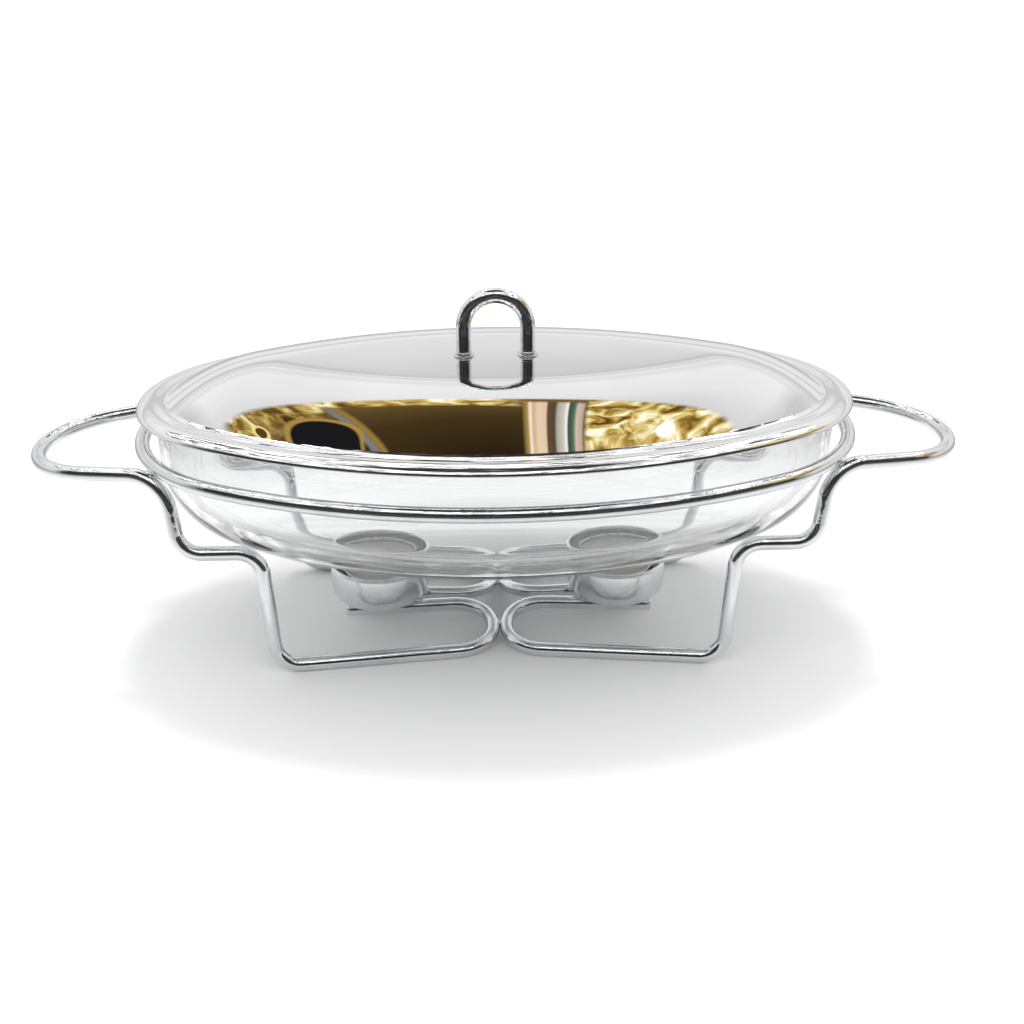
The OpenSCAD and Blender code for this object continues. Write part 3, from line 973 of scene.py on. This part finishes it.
@cache
def wick_material():
    mat, nodes, links, bsdf = shader("cotton_wick")
    tint = noise(nodes, links, 900, 3)
    links.new(
        ramp(nodes, links, tint, [(0.3, (0.80, 0.76, 0.66)), (0.7, (0.93, 0.91, 0.85))]),
        bsdf.inputs["Base Color"],
    )
    links.new(span(nodes, links, noise(nodes, links, 2500, 2), 0.7, 0.9), bsdf.inputs["Roughness"])
    bump(nodes, links, bsdf, noise(nodes, links, 3500, 3, 0.5, (1, 1, 0.3)), 0.6, 0.0003)
    return mat


# ---------------------------------------------------------------- putting pieces on the frame

def dress(piece, body, material, node=None):
    """Gives a piece its material and slot, and ties it to its body and the node it replaces."""
    piece.data.materials.clear()
    piece.data.materials.append(material)
    if node is not None:
        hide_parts(node)
    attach(piece, body)


# ---------------------------------------------------------------- studio


class Field:
    """A number that varies over the sky, built up from shader maths nodes."""

    nodes = None
    links = None

    def __init__(self, socket):
        self.socket = socket

    @classmethod
    def maths(cls, operation, *values, clamp=False):
        node = cls.nodes.new("ShaderNodeMath")
        node.operation = operation
        node.use_clamp = clamp
        for i, value in enumerate(values):
            if isinstance(value, Field):
                cls.links.new(value.socket, node.inputs[i])
            else:
                node.inputs[i].default_value = value
        return Field(node.outputs["Value"])

    def __add__(self, other):
        return self.maths("ADD", self, other)

    def __sub__(self, other):
        return self.maths("SUBTRACT", self, other)

    def __rsub__(self, other):
        return self.maths("SUBTRACT", other, self)

    def __mul__(self, other):
        return self.maths("MULTIPLY", self, other)

    __radd__ = __add__
    __rmul__ = __mul__

    def above(self, level, soft):
        """0 below the level, 1 above it, with a soft edge."""
        return self.maths("MULTIPLY_ADD", self - level, 0.5 / soft, 0.5, clamp=True)

    def between(self, low, high, soft):
        return self.above(low, soft) * (1 - self.above(high, soft))

    def waves(self, x_scale, y, y_scale, scale, detail=3.0, distortion=0.0):
        """Noise over this field and a second one, stretched on each."""
        place = self.nodes.new("ShaderNodeCombineXYZ")
        self.links.new((self * x_scale).socket, place.inputs["X"])
        self.links.new((y * y_scale).socket, place.inputs["Y"])
        tex = self.nodes.new("ShaderNodeTexNoise")
        tex.inputs["Scale"].default_value = scale
        tex.inputs["Detail"].default_value = detail
        tex.inputs["Distortion"].default_value = distortion
        self.links.new(place.outputs["Vector"], tex.inputs["Vector"])
        return Field(tex.outputs["Fac"])

    def colours(self, low, high, stops):
        """A colour for each value between low and high."""
        scaled = self.maths("MULTIPLY_ADD", self - low, 1 / (high - low), 0.0, clamp=True)
        full = [((v - low) / (high - low), c) for v, c in stops]
        return ramp(self.nodes, self.links, scaled.socket, full)


def over(below, top_colour, amount):
    """Lays one sky colour over another."""
    node = Field.nodes.new("ShaderNodeMix")
    node.data_type = "RGBA"
    node.clamp_factor = True
    Field.links.new(amount.socket, node.inputs[0])
    for socket, value in ((node.inputs[6], below), (node.inputs[7], top_colour)):
        if isinstance(value, tuple):
            socket.default_value = (*value, 1)
        else:
            Field.links.new(value, socket)
    return node.outputs[2]


def grey(v):
    return (v, v, v)


def ellipse(u, v, cu, cv, ru, rv, soft):
    """1 inside an ellipse in the plane of two fields."""
    du, dv = (u - cu) * (1 / ru), (v - cv) * (1 / rv)
    return 1 - Field.maths("SQRT", du * du + dv * dv).above(1.0, soft)


# In the sky, up is the elevation in degrees, turn the direction round the compass in degrees
# from straight behind, and across the sideways part of the direction, from -1 to 1.

ROOM_EDGE = 53
ROOM_HALF_WIDTH = 0.53
EDGE_DIP = 8
BLURRED_DROP = 14


def tent_colours(up, sway):
    """The pale cloth behind, in soft bands."""
    return (up + sway * 4 - 2).colours(-20, 70, [
        (-20, grey(0.86)), (0, grey(0.80)), (6, grey(0.92)), (10, grey(0.70)), (13, grey(0.95)),
        (16.6, grey(0.84)), (18.4, grey(0.66)), (19.6, grey(0.62)), (21, grey(0.86)),
        (22.4, grey(0.74)), (24.5, grey(0.93)), (27, grey(0.84)), (31, grey(0.97)),
        (45, grey(0.92)), (58, grey(0.70)), (70, grey(0.6)),
    ])


def gold_leaf(glint):
    return glint.colours(0, 1, [
        (0.34, (0.13, 0.07, 0.01)), (0.45, (0.46, 0.29, 0.06)), (0.52, (0.80, 0.58, 0.18)),
        (0.57, (0.95, 0.80, 0.38)), (0.64, (1.25, 1.15, 0.85)), (0.8, (1.3, 1.25, 1.1)),
    ])


def dim_gold_leaf(glint):
    return glint.colours(0, 1, [
        (0.34, (0.05, 0.028, 0.006)), (0.48, (0.26, 0.16, 0.035)), (0.58, (0.60, 0.42, 0.12)),
        (0.66, (1.0, 0.88, 0.5)), (0.8, (1.2, 1.1, 0.8)),
    ])


def brown_wall(edge):
    return edge.colours(0, 40, [
        (0, (0.22, 0.14, 0.04)), (8, (0.11, 0.068, 0.02)), (18, (0.06, 0.036, 0.012)),
        (28, (0.045, 0.028, 0.010)), (40, (0.03, 0.018, 0.007)),
    ])


def pearl_curtain(stripe):
    return stripe.colours(0.06, 0.24, [
        (0.075, (0.06, 0.04, 0.014)), (0.089, (0.50, 0.33, 0.10)), (0.094, (1.1, 0.95, 0.75)),
        (0.102, (0.75, 0.50, 0.28)), (0.112, (0.95, 0.72, 0.52)), (0.130, (0.90, 0.66, 0.46)),
        (0.134, (0.16, 0.09, 0.04)), (0.150, (0.10, 0.07, 0.04)), (0.157, (0.50, 0.48, 0.40)),
        (0.172, (0.72, 0.70, 0.60)), (0.178, (1.1, 1.1, 1.0)), (0.183, (0.06, 0.08, 0.05)),
        (0.195, (0.10, 0.20, 0.13)), (0.202, (0.75, 0.60, 0.48)), (0.215, (0.60, 0.45, 0.32)),
        (0.220, (0.10, 0.06, 0.02)),
    ])


def golden_room(across, y, up, edge, gold, dim_gold):
    """The warm room overhead: a brown wall, gold on both sides, a striped curtain and lamps."""
    stripe = Field.maths("DIVIDE", across, 1 - y * 0.55)
    band = across.between(-0.30, 0.04, 0.02) * (1 - edge.above(6.5 + across * 14, 0.8))
    layers = [
        ((0.22, 0.23, 0.24), across.between(-0.272, -0.252, 0.004)),
        ((0.34, 0.21, 0.05), across.between(-0.254, -0.236, 0.005)),
        (pearl_curtain(stripe), stripe.between(0.075, 0.23, 0.003) * edge.above(3, 1)),
        (gold, stripe.above(0.224, 0.006)),
        (dim_gold, (1 - across.above(-0.27, 0.01)) * (1 - edge.above(7, 2))),
        (gold, band),
        ((0.46, 0.29, 0.07), ellipse(across, up, -0.36, 66, 0.105, 8.5, 0.05)),
        ((0.012, 0.012, 0.014), ellipse(across, up, -0.36, 66.5, 0.092, 7.6, 0.04)),
        ((1.0, 0.80, 0.35), ellipse(across, up, -0.475, 56.5, 0.020, 1.9, 0.1)),
        ((0.10, 0.06, 0.015), ellipse(across, up, -0.475, 56.5, 0.014, 1.2, 0.1)),
        ((1.5, 1.5, 1.4), ellipse(across, up, 0.36, 63.5, 0.022, 2.2, 0.15)),
    ]
    inside = brown_wall(edge)
    for colour, amount in layers:
        inside = over(inside, colour, amount)
    return inside


def unlit_side(turn, up):
    """The dark half of the room in front, with lit panes half way up."""
    dusk = turn.waves(0.03, up, 0.14, 1.5, 3.0)
    dark = dusk.colours(0.3, 0.7, [(0.3, grey(0.012)), (0.55, grey(0.05)), (0.7, grey(0.17))])
    panes = turn.waves(0.05, up, 0.11, 2.6, 3.0, 1.2)
    dark = over(dark, grey(3.0), panes.above(0.52, 0.012) * up.between(38, 70, 3))
    return over(dark, grey(0.8), 1 - up.above(-3, 1.5))


def ceiling(turn, up):
    overhead = turn.waves(0.02, up, 0.2, 2.2, 3.0, 1.0)
    return overhead.colours(0.3, 0.7, [
        (0.3, grey(0.015)), (0.52, grey(0.06)), (0.58, grey(1.8)), (0.7, grey(2.6)),
    ])


def reflected_sky(mirror):
    """What polished metal sees. The golden room shows only in a perfect mirror (mirror 1);
    softer polish sees a dark room in its place."""
    coords = Field.nodes.new("ShaderNodeTexCoord")
    parts = Field.nodes.new("ShaderNodeSeparateXYZ")
    Field.links.new(coords.outputs["Generated"], parts.inputs["Vector"])
    across, y, z = (Field(parts.outputs[k]) for k in "XYZ")
    up = Field.maths("ARCSINE", z) * math.degrees(1)
    turn = Field.maths("ARCTAN2", across, y) * math.degrees(1)
    away = Field.maths("ABSOLUTE", turn)
    sideways = Field.maths("ABSOLUTE", across + 0.01)
    blurred = 1 - mirror

    dip = Field.maths("EXPONENT", across * across * (-1 / 0.2 ** 2))
    edge = up - (ROOM_EDGE + across * 4 - dip * EDGE_DIP) + blurred * BLURRED_DROP
    room = edge.above(0, 0.7) * (1 - sideways.above(ROOM_HALF_WIDTH, 0.012) * mirror)
    room = room * (1 - away.above(95, 3) * (1 - up.above(76, 2)))
    front = away.above(100, 8) * (1 - mirror * up.above(76, 2))
    ends = sideways.above(0.57, 0.04) * up.between(24, 62, 8) * mirror
    warm_patch = turn.between(70, 112, 5) * up.between(22, 42, 2.5)

    glint = across.waves(14, up, 0.13, 1.6, 5.0, 0.8)
    gold = gold_leaf(glint)
    dark = unlit_side(turn, up)
    inside = golden_room(across, y, up, edge, gold, dim_gold_leaf(glint))
    sky = tent_colours(up, turn.waves(0.02, up, 0.02, 1.0, 1.0))
    for colour, amount in (
        (grey(0.60), ends * 0.8),
        (over(dark, inside, mirror), room),
        (dark, front),
        (ceiling(turn, up), up.above(88.5, 0.8) * blurred),
        (gold, warm_patch),
    ):
        sky = over(sky, colour, amount)
    return sky


FLOOR_LIGHT = 1.12
SEEN_THROUGH_GLASS = 0.93


def make_world():
    """White to the eye and to the floor, and patterned only in reflections."""
    world = bpy.data.worlds.new("studio_world")
    bpy.context.scene.world = world
    world.use_nodes = True
    Field.nodes, Field.links = world.node_tree.nodes, world.node_tree.links
    back = Field.nodes["Background"]
    path = Field.nodes.new("ShaderNodeLightPath")
    sky = reflected_sky(Field(path.outputs["Is Singular Ray"]))
    sky = over(sky, grey(SEEN_THROUGH_GLASS), Field(path.outputs["Is Transmission Ray"]) * 0.85)
    sky = over(sky, grey(FLOOR_LIGHT), Field(path.outputs["Is Diffuse Ray"]))
    sky = over(sky, grey(1.0), Field(path.outputs["Is Camera Ray"]))
    Field.links.new(sky, back.inputs["Color"])


KEY_POWER = 7.5
KEY_SIZE = 0.34
KEY_PLACE = Vector((0.0, 0.46, 1.6))


def key_light():
    """A soft lamp above and a little behind, which throws the shadow forward."""
    data = bpy.data.lights.new("key_light", "AREA")
    data.shape = "DISK"
    data.size = KEY_SIZE
    data.energy = KEY_POWER
    lamp = bpy.data.objects.new("key_light", data)
    bpy.context.scene.collection.objects.link(lamp)
    lamp.location = KEY_PLACE
    lamp.rotation_euler = (-KEY_PLACE).to_track_quat("-Z", "Y").to_euler()
    lamp.visible_glossy = False
    lamp.visible_camera = False


def shade_floor_in_reflections(tree, bsdf):
    """The floor is white to the eye; polished metal sees it fall off away from the object."""
    Field.nodes, Field.links = tree.nodes, tree.links
    coords = Field.nodes.new("ShaderNodeTexCoord")
    parts = Field.nodes.new("ShaderNodeSeparateXYZ")
    Field.links.new(coords.outputs["Object"], parts.inputs["Vector"])
    x, y = Field(parts.outputs["X"]), Field(parts.outputs["Y"])
    reach = Field.maths("SQRT", x * x * 0.35 + y * y)
    seen = reach.colours(0, 1.2, [
        (0.0, grey(0.86)), (0.16, grey(0.84)), (0.24, grey(0.62)), (0.32, grey(0.40)),
        (0.6, grey(0.30)), (1.2, grey(0.45)),
    ])
    path = Field.nodes.new("ShaderNodeLightPath")
    mirrored = Field(path.outputs["Is Glossy Ray"])
    Field.links.new(over(grey(0.95), seen, mirrored), bsdf.inputs["Base Color"])


def flat_sheet(name, x_half, y_low, y_high, z):
    bm = bmesh.new()
    corners = ((-x_half, y_low, z), (x_half, y_low, z), (x_half, y_high, z), (-x_half, y_high, z))
    bm.faces.new([bm.verts.new(p) for p in corners])
    return new_object(name, bm, smooth=False)


def make_floor():
    floor = flat_sheet("floor", 6.0, -6.0, 6.0, 0)
    mat = bpy.data.materials.new("pale_floor")
    mat.use_nodes = True
    bsdf = mat.node_tree.nodes["Principled BSDF"]
    bsdf.inputs["Roughness"].default_value = 0.9
    bsdf.inputs["Specular IOR Level"].default_value = 0.0
    shade_floor_in_reflections(mat.node_tree, bsdf)
    floor.data.materials.append(mat)


def dark_foreground():
    """The unlit room in front of the table, which only polished metal sees."""
    plane = flat_sheet("dark_foreground", 3.0, -4.0, -0.36, 1 * MM)
    mat = bpy.data.materials.new("unlit_room")
    mat.use_nodes = True
    nodes, links = mat.node_tree.nodes, mat.node_tree.links
    nodes.clear()
    glow = nodes.new("ShaderNodeEmission")
    glow.inputs["Strength"].default_value = 1.0
    streak = noise(nodes, links, 1.5, 3, 0.5, (0.4, 3, 1))
    links.new(
        ramp(nodes, links, streak, [(0.35, grey(0.01)), (0.65, grey(0.10))]), glow.inputs["Color"]
    )
    output = nodes.new("ShaderNodeOutputMaterial")
    links.new(glow.outputs["Emission"], output.inputs["Surface"])
    plane.data.materials.append(mat)
    plane.visible_camera = False
    plane.visible_diffuse = False
    plane.visible_shadow = False
    plane.visible_transmission = False


def make_studio():
    make_world()
    make_floor()
    dark_foreground()
    key_light()
    scene = bpy.context.scene
    scene.view_settings.view_transform = "Standard"
    scene.view_settings.look = "None"
    scene.view_settings.exposure = 0.0
    scene.view_settings.gamma = 1.0


# ---------------------------------------------------------------- build

make_camera()
make_frame_wires()
make_support_ring()
make_weld_beads()
make_cups()
make_dish()
make_lid_shell()
make_lid_handle()
make_washers()
make_nuts()
make_tealights()
make_studio()
